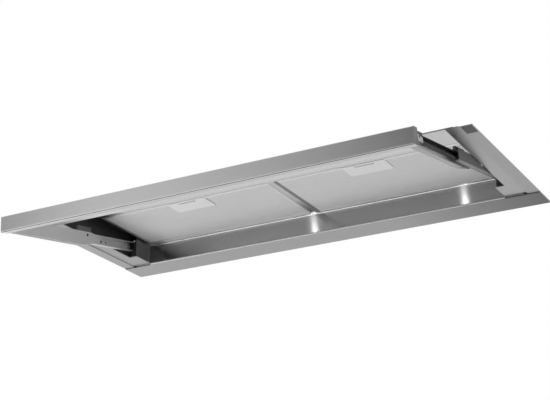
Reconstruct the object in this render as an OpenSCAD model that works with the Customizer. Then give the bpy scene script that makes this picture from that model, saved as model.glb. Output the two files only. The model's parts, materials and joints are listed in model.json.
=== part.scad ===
// Pull out range hood for a wall cabinet: a frame that bears under the cabinet,
// a low housing above it, and a visor on slides that pulls out and tilts down.
// X runs across the cabinet, Y from the front to the wall, Z up.

/* [Frame] */
// Width of the frame across the cabinet
frame_w = 898; // [820:1:1000]
// Depth of the frame from its front edge to the wall
frame_d = 372.6; // [366:0.2:400]
// Thickness of the frame sheet
sheet_t = 1.5; // [1.2:0.1:2]
// Width of the side flanges seen beside the housing
flange_w = 22.5; // [20:0.5:30]
// Width of the flange along the wall
rear_flange_w = 23.6; // [20:0.2:28]
// Height of the lip that stands inside the cabinet cut-out
lip_h = 15; // [13:1:20]
// Width of the trim strip along the wall
trim_w = 55.6; // [54:0.2:60]
// Height of the filter plane above the frame's underside
ceiling_z = 41; // [41:0.5:44]

/* [Visor] */
// How far the visor pulls out
travel = 128.5; // [100:0.5:130]
// Angle that the pulled out visor tilts down
open_tilt = 11; // [6:0.5:12]
// Height of the front bar
fascia_h = 28.7; // [27:0.1:30]
// Depth of the front bar from front to back
fascia_d = 18.5; // [15:0.5:20]
// Thickness of the visor sheet
visor_t = 1.2; // [1:0.1:1.5]
// Gap between each end of the front bar and the side panel
visor_gap = 0.7; // [0.5:0.1:2]
// Depth of the lamp panel behind the front bar
lamp_panel_d = 121; // [105:1:122]

/* [Slides] */
// Height of the outer slide member
rail_h = 19; // [18:0.5:20]
// Length of the outer slide member
outer_rail_len = 207; // [190:1:215]
// Thickness of the slide steel
rail_t = 1.2; // [1:0.1:1.3]
// Radius of the slide balls
ball_r = 1.3; // [1.1:0.1:1.4]

/* [Filters] */
// Gap between the two filters
filter_gap = 12; // [11:0.5:20]
// Thickness of a filter
filter_h = 10; // [9:0.5:10.5]
// Width of the filter border
border_w = 7; // [6:0.5:10]
// Width of the handle plate across the hood
handle_w = 84; // [70:1:110]
// Depth of the handle plate front to back
handle_d = 44; // [36:1:60]

/* [Lamps] */
// Distance of each lamp from the middle
lamp_x = 190; // [150:1:260]
// Outer radius of a lamp ring
lamp_r = 17; // [15:0.5:19]

/* [Air] */
// Height of the housing top above the frame's underside
housing_top = 82; // [80:1:84]
// Height of the blower cover top above the frame's underside
cover_top = 112; // [110:1:116]
// Outer radius of the duct collar
collar_r = 59.5; // [55:0.5:60]
// Height of the duct collar
collar_h = 23; // [20:1:26]
// Outer radius of the impeller
impeller_r = 60; // [52:1:60]
// Number of impeller blades
blades = 36; // [24:1:44]

/* [Hidden] */
$fn = 48;

// Colours of the finishes
steel = [0.72, 0.72, 0.73];
bright_steel = [0.82, 0.82, 0.83];
dark_steel = [0.3, 0.3, 0.31];
zinc = [0.6, 0.61, 0.62];
aluminium = [0.78, 0.78, 0.79];
black = [0.06, 0.06, 0.065];
grey_plastic = [0.45, 0.45, 0.46];
lens_white = [0.95, 0.95, 0.92];

// Gap round moving pieces, gap round running shafts, and the overrun of cuts
clear = 0.4;
run_gap = 0.08;
over = 1;

// Frame: the lip's inner face, the housing wall's inner face and the places to the rear
frame_half = frame_w / 2;
lip_x = frame_half - flange_w;
body_t = 1.2;
wing_x = lip_x - body_t;
trim_y = frame_d - trim_w;
hem = 2;
wall_y = trim_y - hem;
housing_y = frame_d - rear_flange_w;
rear_in_y = housing_y - body_t;
seat_y = frame_d - rear_flange_w / 2;

// Side panels: their width, the visor opening between them and the wider rear part
side_panel_w = 23.3;
wide_panel_w = 40.3;
opening_x = wing_x - side_panel_w;
recess_x = wing_x - wide_panel_w;
panel_top = sheet_t + body_t;
panel_lip_h = 9;
upstand_gap = 2;
upstand_x = recess_x + upstand_gap;
bracket_inset = 49;
bracket_y = wall_y - bracket_inset;
cap_w = 18;
cap_d = 26;
cap_edge = 2;
cap_t = 0.6;

// Screw holes through the lip into the cabinet sides
seat_hole_r = 2.5;
seat_hole_z = 9;
seat_hole_back = 49;
seat_hole_pitch = 180;

// Side channels round the slides, which bear on the recess wall, and the wings outside them
wall_rise = 6.2;
wall_top = ceiling_z + wall_rise;
channel_gap = 1.4;
channel_x = opening_x + channel_gap;
channel_front = 62;
channel_low = 28;
channel_high_y = 98;
channel_top = wall_top + body_t;
wing_top = 29.5;

// Filters and what holds them
filter_side_gap = 2.8;
filter_x = recess_x - filter_side_gap;
filter_front = 141;
filter_rear_gap = 8.3;
filter_rear = wall_y - filter_rear_gap;
filter_wall = 1;
filter_lip = 0.8;
mesh_h = 3.2;
rear_lip_gap = 2.2;
rear_lip_y = wall_y - rear_lip_gap;
rod_inset = 4.6;
rod_y = wall_y - rod_inset;
rod_rise = 3;
rod_z = ceiling_z + rod_rise;
rod_r = 1.5;
hook_r = 2.9;
hook_w = 20;
hook_shares = [0.16, 0.84];
lug_w = 2;
lug_h = 3.2;

// Rail between the two filters, with grooves along its underside
divider_half = filter_gap / 2 - clear;
divider_front = 120;
divider_rear = 7;
divider_web_rise = 0.8;
divider_web_z = ceiling_z + divider_web_rise;
groove_w = 1;
groove_h = 0.8;
groove_pitch = 2.8;

// Rear recess wall: its width and the rolled beads of its two edges
wall_side_gap = 0.2;
wall_x = upstand_x - wall_side_gap;
bead_x = recess_x - wall_side_gap;
bead_r = 1.1;
bead_drop = 1.5;

// Handle plates, their slots and the latches in them
handle_t = 0.8;
handle_shift = 7.1;
handle_cx = (filter_gap / 2 + filter_x) / 2 - handle_shift;
slot_w = 38;
slot_front = 4.2;
slot_d = 5;
latch_w = 36;
latch_h = 3.2;
latch_front = 0.9;
latch_d = 9;
rib_t = 1.2;
rib_drop = 1.4;
pocket_d = 14;
pocket_h = 5;

// Housing above the filters
panel_front = 80;
panel_gap = 1.3;
panel_rear = filter_front - panel_gap;
panel_flange_h = 1.4;
end_wall_gap = 0.8;
end_wall_x = filter_x + end_wall_gap;
housing_x = end_wall_x + body_t;
ceiling_top = ceiling_z + body_t;
slope_y = panel_front + body_t;
slope_z = ceiling_top + panel_flange_h;
slope_rear = 215;
slope_a = atan2(housing_top - slope_z, slope_rear - slope_y);
slope_drop = body_t / cos(slope_a);
rear_notch = 15;

// Duct: its middle, and the outlet box under it
duct_x = -154;
duct_gap = 2.3;
duct_y = rear_in_y - collar_r - duct_gap;
elbow_margin = 0.5;
elbow_x = duct_x - collar_r - elbow_margin;
elbow_front = duct_y - collar_r - elbow_margin;
elbow_rear = duct_y + collar_r + elbow_margin;
outlet_margin = 2.5;
outlet_x = duct_x + collar_r + outlet_margin;

// Blower cover and the opening under it
cover_side_gap = 12;
cover_x0 = elbow_x - cover_side_gap;
cover_x1 = 166;
cover_front = 150;
cover_step = 90;
cover_shoulder = 186;
cover_rim = 6;

// Blower: its scroll, its middle and its outlet
scroll_z = 58;
scroll_top = cover_top - body_t;
scroll_gap = 6;
scroll_min = impeller_r + scroll_gap;
scroll_growth = 12;
scroll_max = scroll_min + scroll_growth;
scroll_rear_gap = 5.8;
blower_x = 60;
blower_y = rear_in_y - scroll_max - scroll_rear_gap;
scroll_step = 15;
outlet_h = 30;
inlet_lip = 2;
blade_ring = 14;
inlet_r = impeller_r - blade_ring - inlet_lip;

// Motor and impeller
motor_r = 36;
motor_z = 86;
motor_neck_z = 106;
neck_r = 22;
shaft_r = 4;
shaft_z = 70;
impeller_z = 61;
impeller_top = 104.2;
hub_r = 9;
hub_z = 71;
dish_z = 80;
dish_r = 40;
blade_t = 1;
blade_lean = 25;

// Duct collar and its damper
collar_wall = 1.2;
collar_in = collar_r - collar_wall;
collar_flange = 2.5;
ledge_w = 2.8;
ledge_z = 3;
damper_pin_r = 1.2;
damper_pin_y = 3.4;
damper_pin_z = 6.8;
knuckle_r = 2.6;
knuckle_half = 44;
flap_gap = 1.6;
flap_rise = 0.3;

// Control box and its cable gland
box_w = 104;
box_inset = 54.2;
box_x1 = housing_x - box_inset;
box_x0 = box_x1 - box_w;
box_d = 76;
box_rear_gap = 9.8;
box_y1 = rear_in_y - box_rear_gap;
box_y0 = box_y1 - box_d;
box_h = 20;
box_wall = 1.6;
gland_y = (box_y0 + box_y1) / 2;
gland_rise = 10;
gland_bore_r = 3.8;
gland_nut_r = 9;
gland_nut_len = 7;
gland_tube_r = 6.5;
gland_len = 16;

// Push buttons in the ceiling front panel
control_half = 60;
control_front = 96;
control_rear = 118;
control_drop = 1.2;
control_rim_x = 8;
control_rim_y = 3;
control_box_h = 6.2;
button_w = 14;
button_d = 10;
button_pitch = 24;
button_gap = 0.4;
button_drop = 2.4;
button_flange = 1;
button_stem = 3;
button_y = (control_front + control_rear) / 2;

// Visor, measured from the pivots with the visor level and pulled out
pivot_back = 10;
pivot_y = bracket_y - pivot_back;
pivot_z = 21;
pin_r = 3;
pin_head_r = 5;
pin_head_t = 1.4;
fascia_x = opening_x - visor_gap;
closed_gap = 3;
visor_rise = 3.2;
fascia_lean = 3.7;
fascia_a = atan2(fascia_lean, fascia_h);
fold_r = 1.5;
fold_steps = 5;
seam_back = 2.2;
seam_w = 1.2;
seam_h = 0.8;
fascia_front =-(pivot_y + closed_gap + travel);
fascia_rear = fascia_front + fascia_d;
visor_low = visor_rise - pivot_z;
visor_high = visor_low + fascia_h;
panel_low = visor_high - visor_t;
plate_x = recess_x;
plate_out = plate_x + visor_t;
plate_rear = -114;
plate_taper = 61;
plate_end_low = -9;
plate_end_high = 4;
plate_round_r = 6;
plate_flange_w = 9;
block_y0 = -182;
block_y1 = -142;
block_h = 9.7;
block_w = 4;
plate_screw_y = -154.2;
plate_screw_z = 3.5;
plate_screw_r = 3.2;
plate_screw_h = 0.8;
lamp_back = 77;
lamp_y = fascia_rear + lamp_back;
lamp_body_gap = 2.5;
lamp_ring_t = 1;
lamp_body_h = 8.3;
lens_gap = 4;
lens_t = 1;
lens_inset = 0.2;

// Pivot brackets
bracket_t = 2;
bracket_in_w = 15.4;
bracket_top = 38;
bracket_low_y = 40;
bracket_nose_y = 52;
bracket_nose_low = 12;
bracket_nose_high = 30;
bracket_slope_y = 22;
bracket_screw_r = 2.8;
bracket_screw_h = 1.6;
bracket_screw_z = 35;
bracket_screw_in = 3.5;

// Slides: the outer member, the ball cage and the inner member
rail_out = channel_x - bracket_t - clear;
rail_web = rail_out - rail_t;
rail_depth = 10;
rail_tail = 5;
slot_hole_y = -94.3;
slot_hole_len = 12;
slot_hole_r = 2.4;
round_hole_y = -76.1;
round_hole_r = 2.2;
ball_gap = 0.2;
inner_half = rail_h / 2 - rail_t - 2 * ball_r - 2 * ball_gap;
mount_len = 26;
inner_front = fascia_rear + mount_len;
inner_rear = -124;
inner_web_gap = 3.8;
inner_out = rail_web - inner_web_gap;
cage_y0 = -200;
cage_y1 = -126;
cage_t = 0.6;
cage_reach_out = 2.4;
cage_reach_in = 4.1;
cage_out = inner_out + cage_reach_out;
cage_in = inner_out - cage_reach_in;
cage_z = inner_half + ball_gap + ball_r;
balls = 5;
mount_half = 8;
mount_hole_r = 2.2;
mount_out = inner_out + cage_reach_out;

// Microswitch that the visor works
switch_y0 = 120;
switch_y1 = 138;
switch_z0 = 34;
switch_z1 = 44;
switch_w = 7;

// Everything is drawn from the frame's front edge and underside, then set down with
// its origin on the bearing face, in the middle of the rear flange
module in_frame() translate([0, -seat_y, -sheet_t]) children();

// Visor pieces are drawn level, from the pivots, and tilt with the visor
module in_visor() in_frame() translate([0, pivot_y, pivot_z]) rotate([open_tilt, 0, 0]) children();

module on_side(side) if (side < 0) mirror([1, 0, 0]) children(); else children();

module block(x0, x1, y0, y1, z0, z1) translate([x0, y0, z0]) cube([x1 - x0, y1 - y0, z1 - z0]);

module rod_x(x0, x1, y, z, r) translate([x0, y, z]) rotate([0, 90, 0]) cylinder(r = r, h = x1 - x0);

module profile_x(x0, x1, points) translate([x0, 0, 0]) rotate([90, 0, 90])
    linear_extrude(x1 - x0) polygon(points);

// Frame and trim
module seat_holes() for (side = [-1, 1]) on_side(side)
    for (y = [housing_y - seat_hole_back - seat_hole_pitch, housing_y - seat_hole_back])
        rod_x(wing_x - body_t - over, lip_x + sheet_t + over, y, seat_hole_z, seat_hole_r);

module base_frame() color(steel) in_frame() difference() {
    union() {
        for (side = [-1, 1]) on_side(side) {
            block(lip_x, frame_half, 0, frame_d, 0, sheet_t);
            block(lip_x, lip_x + sheet_t, channel_front, housing_y + sheet_t, 0, sheet_t + lip_h);
        }
        block(-lip_x, lip_x, housing_y, frame_d, 0, sheet_t);
        block(-lip_x, lip_x, housing_y, housing_y + sheet_t, 0, sheet_t + lip_h);
    }
    seat_holes();
}

module rear_trim() color(steel) in_frame()
    block(-frame_half, frame_half, trim_y, frame_d, -sheet_t, 0);

module side_panel(side) color(steel) in_frame() difference() {
    on_side(side) {
        block(opening_x, wing_x, 0, trim_y, sheet_t, panel_top);
        block(recess_x, wing_x, bracket_y, wall_y, sheet_t, panel_top);
        block(upstand_x, wing_x, bracket_y, trim_y, sheet_t, panel_top);
        block(wing_x - body_t, wing_x, channel_front, rear_in_y, sheet_t, panel_top + panel_lip_h);
        block(upstand_x, upstand_x + body_t, bracket_y, wall_y, sheet_t, channel_top - body_t);
    }
    seat_holes();
}

module corner_caps() color(grey_plastic) in_frame() for (side = [-1, 1]) on_side(side)
    block(frame_half - cap_edge - cap_w, frame_half - cap_edge, cap_edge, cap_edge + cap_d, -cap_t, 0);

module rear_recess_wall() color(bright_steel) in_frame() {
    block(-wall_x, wall_x, wall_y, wall_y + body_t, 0, wall_top);
    block(-wall_x, wall_x, wall_y, rear_in_y, 0, body_t);
    block(-wall_x, wall_x, wall_y, rear_in_y, wall_top - body_t, wall_top);
    rod_x(-bead_x, bead_x, wall_y, bead_r, bead_r);
    rod_x(-wall_x, wall_x, wall_y, ceiling_z - bead_drop, bead_r);
}

module side_channel(side) color(black) in_frame() on_side(side) {
    profile_x(channel_x, channel_x + body_t, [
        [channel_front, panel_top], [channel_front, channel_low], [channel_high_y, channel_top],
        [rear_in_y, channel_top], [rear_in_y, panel_top]
    ]);
    block(housing_x, channel_x + body_t, channel_high_y, rear_in_y, channel_top - body_t, channel_top);
}

module wing(side) color(zinc) in_frame() difference() {
    on_side(side) {
        block(wing_x, lip_x, channel_front, rear_in_y, sheet_t, wing_top);
        block(channel_x + body_t, wing_x, channel_front, rear_in_y, wing_top - body_t, wing_top);
    }
    seat_holes();
}

module rear_wall() color(zinc) in_frame() translate([0, housing_y, 0]) rotate([90, 0, 0])
    linear_extrude(body_t) polygon([
        [-lip_x, 0], [-lip_x, wing_top], [-channel_x - body_t, wing_top],
        [-channel_x - body_t, channel_top], [-housing_x, channel_top], [-housing_x, housing_top],
        [housing_x, housing_top], [housing_x, channel_top], [channel_x + body_t, channel_top],
        [channel_x + body_t, wing_top], [lip_x, wing_top], [lip_x, 0]
    ]);

// Ceiling in front of the filters, with the push buttons
module ceiling_front_panel() color(bright_steel) in_frame() difference() {
    union() {
        block(-housing_x, housing_x, panel_front, panel_rear, ceiling_z, ceiling_top);
        block(-housing_x, housing_x, panel_front, slope_y, ceiling_z, slope_z);
    }
    block(-control_half + control_rim_x, control_half - control_rim_x, control_front + control_rim_y,
        control_rear - control_rim_y, ceiling_z - over, ceiling_top + over);
}

function button_x(i) = (i - 2.5) * button_pitch;

module control_panel() color(black) in_frame() difference() {
    union() {
        block(-control_half, control_half, control_front, control_rear, ceiling_z - control_drop, ceiling_z);
        block(-control_half + control_rim_x, control_half - control_rim_x, control_front + control_rim_y,
            control_rear - control_rim_y, ceiling_z - control_drop, ceiling_z + control_box_h);
    }
    block(-control_half + control_rim_x + body_t, control_half - control_rim_x - body_t,
        control_front + control_rim_y + body_t, control_rear - control_rim_y - body_t,
        ceiling_z, ceiling_z + control_box_h - body_t);
    for (i = [1 : 4]) button_block(i, button_gap, ceiling_z - control_drop - over, ceiling_z + over);
}

module button_block(i, grow, z0, z1) block(button_x(i) - button_w / 2 - grow,
    button_x(i) + button_w / 2 + grow, button_y - button_d / 2 - grow,
    button_y + button_d / 2 + grow, z0, z1);

module button(i) color(grey_plastic) in_frame() {
    button_block(i, 0, ceiling_z - button_drop, ceiling_z + button_gap);
    button_block(i, button_flange, ceiling_z + button_gap, ceiling_z + button_gap + button_flange);
    button_block(i, -button_flange, ceiling_z, ceiling_z + button_stem);
}

module visor_switch() color(black) in_frame()
    block(channel_x - switch_w, channel_x, switch_y0, switch_y1, switch_z0, switch_z1);

// Rail between the two filters
module divider_rail() color(aluminium) in_frame() {
    block(-divider_half, divider_half, divider_front, wall_y + divider_rear, wall_top, wall_top + body_t);
    block(-divider_half, divider_half, divider_front, panel_rear, ceiling_top, wall_top);
    difference() {
        block(-divider_half, divider_half, panel_rear, rod_y - hook_r, divider_web_z, wall_top);
        block(-divider_half + body_t, divider_half - body_t, panel_rear - over, rod_y, divider_web_z + body_t,
            wall_top - clear);
        for (i = [-1 : 1]) block(i * groove_pitch - groove_w / 2, i * groove_pitch + groove_w / 2,
            panel_rear - over, rod_y, divider_web_z - over, divider_web_z + groove_h);
    }
}

// Housing over the filters, with the blower cover on top
function slope_at(y) = slope_z + (y - slope_y) * tan(slope_a);

module plenum_housing() color(dark_steel) in_frame() difference() {
    profile_x(-housing_x, housing_x, [
        [slope_y, ceiling_top], [slope_y, slope_z], [slope_rear, housing_top],
        [rear_in_y, housing_top], [rear_in_y, wall_top], [wall_y - rear_notch, wall_top],
        [wall_y - rear_notch, ceiling_top]
    ]);
    profile_x(-end_wall_x, end_wall_x, [
        [slope_y + body_t, ceiling_top - over], [slope_y + body_t, slope_at(slope_y + body_t) - slope_drop],
        [slope_rear, housing_top - slope_drop], [rear_in_y + over, housing_top - slope_drop],
        [rear_in_y + over, ceiling_top - over]
    ]);
    block(cover_x0 + cover_rim, cover_x1 - cover_rim, cover_front + cover_rim,
        rear_in_y - body_t, ceiling_top, housing_top + over);
}

module blower_cover() color(zinc) in_frame() difference() {
    profile_x(cover_x0, cover_x1, [
        [cover_front, slope_at(cover_front)], [cover_front, cover_step], [cover_shoulder, cover_top],
        [housing_y, cover_top], [housing_y, housing_top], [slope_rear, housing_top]
    ]);
    profile_x(cover_x0 + body_t, cover_x1 - body_t, [
        [cover_front + body_t, ceiling_top], [cover_front + body_t, cover_step - body_t / 2],
        [cover_shoulder + body_t / 2, cover_top - body_t], [rear_in_y, cover_top - body_t],
        [rear_in_y, ceiling_top]
    ]);
    translate([duct_x, duct_y, cover_top - body_t - over]) cylinder(r = collar_in, h = body_t + 2 * over);
}

// Blower
function scroll_points(wall) = [for (a = [90 : scroll_step : 450])
    (scroll_min - wall + scroll_growth * (a - 90) / 360) * [cos(a), sin(a)]];

module scroll_shape(wall, reach) {
    translate([blower_x, blower_y]) polygon(scroll_points(wall));
    translate([outlet_x - reach, blower_y + scroll_max - outlet_h + wall])
        square([blower_x - outlet_x + reach, outlet_h - 2 * wall]);
}

module blower_scroll() color(zinc) in_frame() difference() {
    translate([0, 0, scroll_z]) linear_extrude(scroll_top - scroll_z) scroll_shape(0, 0);
    translate([0, 0, scroll_z + body_t]) linear_extrude(scroll_top - scroll_z - 2 * body_t)
        scroll_shape(body_t, over);
    translate([blower_x, blower_y, scroll_z - over]) cylinder(r = inlet_r, h = body_t + 2 * over);
}

module blower_motor() color(dark_steel) in_frame() translate([blower_x, blower_y, 0]) {
    translate([0, 0, motor_z]) cylinder(r = motor_r, h = motor_neck_z - motor_z);
    translate([0, 0, motor_neck_z]) cylinder(r = neck_r, h = scroll_top - body_t - motor_neck_z);
    translate([0, 0, shaft_z]) cylinder(r = shaft_r, h = motor_z - shaft_z);
}

module impeller() color(grey_plastic) in_frame() translate([blower_x, blower_y, 0]) {
    rotate_extrude() polygon([
        [shaft_r + run_gap, hub_z], [hub_r, hub_z], [hub_r, dish_z], [dish_r + body_t, dish_z],
        [dish_r + body_t, impeller_top - body_t], [impeller_r, impeller_top - body_t],
        [impeller_r, impeller_top], [dish_r, impeller_top], [dish_r, dish_z + body_t],
        [shaft_r + run_gap, dish_z + body_t]
    ]);
    translate([0, 0, impeller_z]) difference() {
        cylinder(r = impeller_r, h = body_t);
        translate([0, 0, -over]) cylinder(r = impeller_r - blade_ring, h = body_t + 2 * over);
    }
    for (i = [0 : blades - 1]) rotate([0, 0, i * 360 / blades])
        translate([impeller_r - blade_ring + blade_t, 0, impeller_z]) rotate([0, 0, blade_lean])
            cube([blade_ring - 2 * blade_t, blade_t, impeller_top - impeller_z - body_t / 2]);
}

// Outlet, duct collar and damper
module outlet_elbow() color(zinc) in_frame() difference() {
    block(elbow_x, outlet_x, elbow_front, elbow_rear, scroll_z, scroll_top);
    block(elbow_x + body_t, outlet_x - body_t, elbow_front + body_t, elbow_rear - body_t,
        scroll_z + body_t, scroll_top - body_t);
    block(outlet_x - body_t - over, outlet_x + over, blower_y + scroll_max - outlet_h + body_t,
        blower_y + scroll_max - body_t, scroll_z + body_t, scroll_top - body_t);
    translate([duct_x, duct_y, scroll_top - body_t - over])
        cylinder(r = collar_in - body_t, h = body_t + 2 * over);
}

module at_duct() in_frame() translate([duct_x, duct_y, cover_top]) children();

module duct_collar() color(black) at_duct() difference() {
    rotate_extrude() polygon([
        [collar_in, 0], [collar_r + collar_flange, 0], [collar_r + collar_flange, body_t],
        [collar_r, body_t], [collar_r, collar_h], [collar_in, collar_h],
        [collar_in, ledge_z + body_t], [collar_in - ledge_w, ledge_z + body_t],
        [collar_in - ledge_w, ledge_z], [collar_in, ledge_z]
    ]);
    for (side = [-1, 1]) rod_x(-collar_r - over, collar_r + over, side * damper_pin_y, damper_pin_z,
        damper_pin_r);
}

module damper_pins() color(zinc) at_duct() for (side = [-1, 1])
    rod_x(-collar_in - collar_wall / 2, collar_in + collar_wall / 2, side * damper_pin_y, damper_pin_z,
        damper_pin_r);

module damper(side) color(grey_plastic) at_duct() difference() {
    union() {
        translate([0, 0, ledge_z + body_t + flap_rise]) intersection() {
            cylinder(r = collar_in - flap_gap, h = body_t);
            translate([-collar_r, side < 0 ? -collar_r : damper_pin_y, 0])
                cube([2 * collar_r, collar_r - damper_pin_y, body_t]);
        }
        rod_x(-knuckle_half, knuckle_half, side * damper_pin_y, damper_pin_z, knuckle_r);
    }
    rod_x(-collar_r, collar_r, side * damper_pin_y, damper_pin_z, damper_pin_r + run_gap);
}

// Control box with its cable gland
module control_box() color(grey_plastic) in_frame() difference() {
    block(box_x0, box_x1, box_y0, box_y1, housing_top, housing_top + box_h);
    block(box_x0 + box_wall, box_x1 - box_wall, box_y0 + box_wall, box_y1 - box_wall,
        housing_top - over, housing_top + box_h - box_wall);
    rod_x(box_x1 - box_wall - over, box_x1 + over, gland_y, housing_top + gland_rise, gland_bore_r);
}

module cable_gland() color(black) in_frame() difference() {
    union() {
        rod_x(box_x1, box_x1 + gland_nut_len, gland_y, housing_top + gland_rise, gland_nut_r);
        rod_x(box_x1, box_x1 + gland_len, gland_y, housing_top + gland_rise, gland_tube_r);
    }
    rod_x(box_x1 - over, box_x1 + gland_len + over, gland_y, housing_top + gland_rise, gland_bore_r);
}

// Pivot brackets, pins and screws
module pivot_bracket(side) color(black) in_frame() on_side(side) difference() {
    union() {
        profile_x(channel_x - bracket_t, channel_x, [
            [bracket_y, panel_top], [bracket_y, bracket_top], [bracket_y - bracket_slope_y, bracket_top],
            [bracket_y - bracket_nose_y, bracket_nose_high], [bracket_y - bracket_nose_y, bracket_nose_low],
            [bracket_y - bracket_low_y, panel_top]
        ]);
        block(channel_x - bracket_in_w, channel_x, bracket_y - bracket_t, bracket_y, panel_top, bracket_top);
    }
    rod_x(channel_x - bracket_t - over, channel_x + over, pivot_y, pivot_z, pin_r);
}

module pivot_pins() color(zinc) in_frame() for (side = [-1, 1]) on_side(side) {
    rod_x(rail_web - clear, channel_x, pivot_y, pivot_z, pin_r);
    rod_x(rail_web - clear - pin_head_t, rail_web - clear, pivot_y, pivot_z, pin_head_r);
}

module bracket_screws() color(zinc) in_frame() for (side = [-1, 1]) on_side(side)
    translate([channel_x - bracket_in_w + bracket_screw_in, bracket_y - bracket_t, bracket_screw_z])
        rotate([90, 0, 0]) cylinder(r = bracket_screw_r, h = bracket_screw_h);

// Slides
module outer_rail(side) color(steel) in_visor() on_side(side) difference() {
    union() {
        block(rail_web, rail_out, rail_tail - outer_rail_len, rail_tail, -rail_h / 2, rail_h / 2);
        for (z = [-rail_h / 2, rail_h / 2 - rail_t])
            block(rail_out - rail_depth, rail_out, rail_tail - outer_rail_len, rail_tail, z, z + rail_t);
    }
    rod_x(rail_web - over, rail_out + over, 0, 0, pin_r + run_gap);
    rod_x(rail_web - over, rail_out + over, round_hole_y, 0, round_hole_r);
    for (y = [-1, 1] * (slot_hole_len / 2 - slot_hole_r))
        rod_x(rail_web - over, rail_out + over, slot_hole_y + y, 0, slot_hole_r);
    block(rail_web - over, rail_out + over, slot_hole_y - slot_hole_len / 2 + slot_hole_r,
        slot_hole_y + slot_hole_len / 2 - slot_hole_r, -slot_hole_r, slot_hole_r);
}

module ball_cage(side) color(zinc) in_visor() on_side(side) {
    block(cage_out - cage_t, cage_out, cage_y0, cage_y1, -cage_z - cage_t / 2, cage_z + cage_t / 2);
    for (z = [-cage_z, cage_z]) {
        block(cage_in, cage_out, cage_y0, cage_y1, z - cage_t / 2, z + cage_t / 2);
        for (i = [0 : balls - 1])
            translate([(cage_in + inner_out) / 2, cage_y0 + (i + 0.5) * (cage_y1 - cage_y0) / balls, z])
                sphere(r = ball_r);
    }
}

module inner_rail(side) color(dark_steel) in_visor() on_side(side) {
    block(plate_out, plate_out + rail_t, inner_front, inner_rear, -inner_half, inner_half);
    for (z = [-inner_half, inner_half - rail_t])
        block(plate_out, inner_out, inner_front, inner_rear, z, z + rail_t);
}

module rail_mounts() color(grey_plastic) in_visor() for (side = [-1, 1]) on_side(side) difference() {
    block(plate_out, mount_out, fascia_rear, inner_front, -mount_half, mount_half);
    rod_x(plate_out - over, mount_out + over, (fascia_rear + inner_front) / 2, 0, mount_hole_r);
}

// Visor, with folded edges along the front bar
function fold(y, z, a0, a1) = [for (i = [0 : fold_steps]) let (a = a0 + (a1 - a0) * i / fold_steps)
    [y + fold_r * cos(a), z + fold_r * sin(a)]];

module fascia() color(steel) in_visor() difference() {
    profile_x(-fascia_x, fascia_x, concat(
        fold(fascia_front + fold_r / tan(45 - fascia_a / 2), visor_low + fold_r, 270, 180 - fascia_a),
        fold(fascia_front + fascia_lean + fold_r / tan(45 + fascia_a / 2), visor_high - fold_r,
            180 - fascia_a, 90),
        [[fascia_rear, visor_high], [fascia_rear, visor_low]]
    ));
    profile_x(-fascia_x + visor_t, fascia_x - visor_t, [
        [fascia_front + visor_t, visor_low + visor_t], [fascia_front + fascia_lean + visor_t, panel_low],
        [fascia_rear + over, panel_low], [fascia_rear + over, visor_low + visor_t]
    ]);
    block(-fascia_x - over, fascia_x + over, fascia_front + seam_back, fascia_front + seam_back + seam_w,
        visor_low - over, visor_low + seam_h);
}

module fascia_back() color(steel) in_visor() block(-fascia_x + visor_t, fascia_x - visor_t,
    fascia_rear - visor_t, fascia_rear, visor_low + visor_t, panel_low);

module lamp_panel() color(steel) in_visor() difference() {
    block(-plate_out, plate_out, fascia_rear, fascia_rear + lamp_panel_d, panel_low, visor_high);
    for (side = [-1, 1]) translate([side * lamp_x, lamp_y, panel_low - over])
        cylinder(r = lamp_r - lamp_body_gap, h = visor_t + 2 * over);
}

function corner(y, z, r) = [for (a = [-90 : 15 : 0]) [y + r * cos(a), z + r * sin(a)]];

module side_plate(side) color(steel) in_visor() on_side(side) {
    profile_x(plate_x, plate_out, concat([
        [fascia_rear, panel_low], [fascia_rear, visor_low], [plate_rear - plate_taper, visor_low]
    ], corner(plate_rear - plate_round_r, plate_end_low + plate_round_r, plate_round_r), [
        [plate_rear, plate_end_high], [block_y1 + clear, panel_low]
    ]));
    block(plate_x, plate_out + plate_flange_w, fascia_rear, plate_rear - plate_taper,
        visor_low, visor_low + visor_t);
}

module stop_blocks() color(grey_plastic) in_visor() for (side = [-1, 1]) on_side(side)
    block(plate_x, plate_x + block_w, block_y0, block_y1, panel_low, panel_low + block_h);

module plate_screws() color(zinc) in_visor() for (side = [-1, 1]) on_side(side)
    rod_x(plate_x - plate_screw_h, plate_x, plate_screw_y, plate_screw_z, plate_screw_r);

module lamp_rings() color(bright_steel) in_visor() for (side = [-1, 1])
    translate([side * lamp_x, lamp_y, panel_low - lamp_ring_t]) difference() {
        union() {
            cylinder(r = lamp_r, h = lamp_ring_t);
            cylinder(r = lamp_r - lamp_body_gap, h = lamp_ring_t + lamp_body_h);
        }
        translate([0, 0, -over]) cylinder(r = lamp_r - lens_gap, h = over + lens_inset + lens_t);
    }

module lamp_lenses() color(lens_white) in_visor() for (side = [-1, 1])
    translate([side * lamp_x, lamp_y, panel_low - lamp_ring_t + lens_inset])
        cylinder(r = lamp_r - lens_gap, h = lens_t);

// Filters, drawn for the right and mirrored for the left, but the handles face one way
module latch_pocket(side) block(side * handle_cx - latch_w / 2 - over, side * handle_cx + latch_w / 2 + over,
    filter_front - over, filter_front + pocket_d, ceiling_z - over, ceiling_z + pocket_h);

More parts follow.
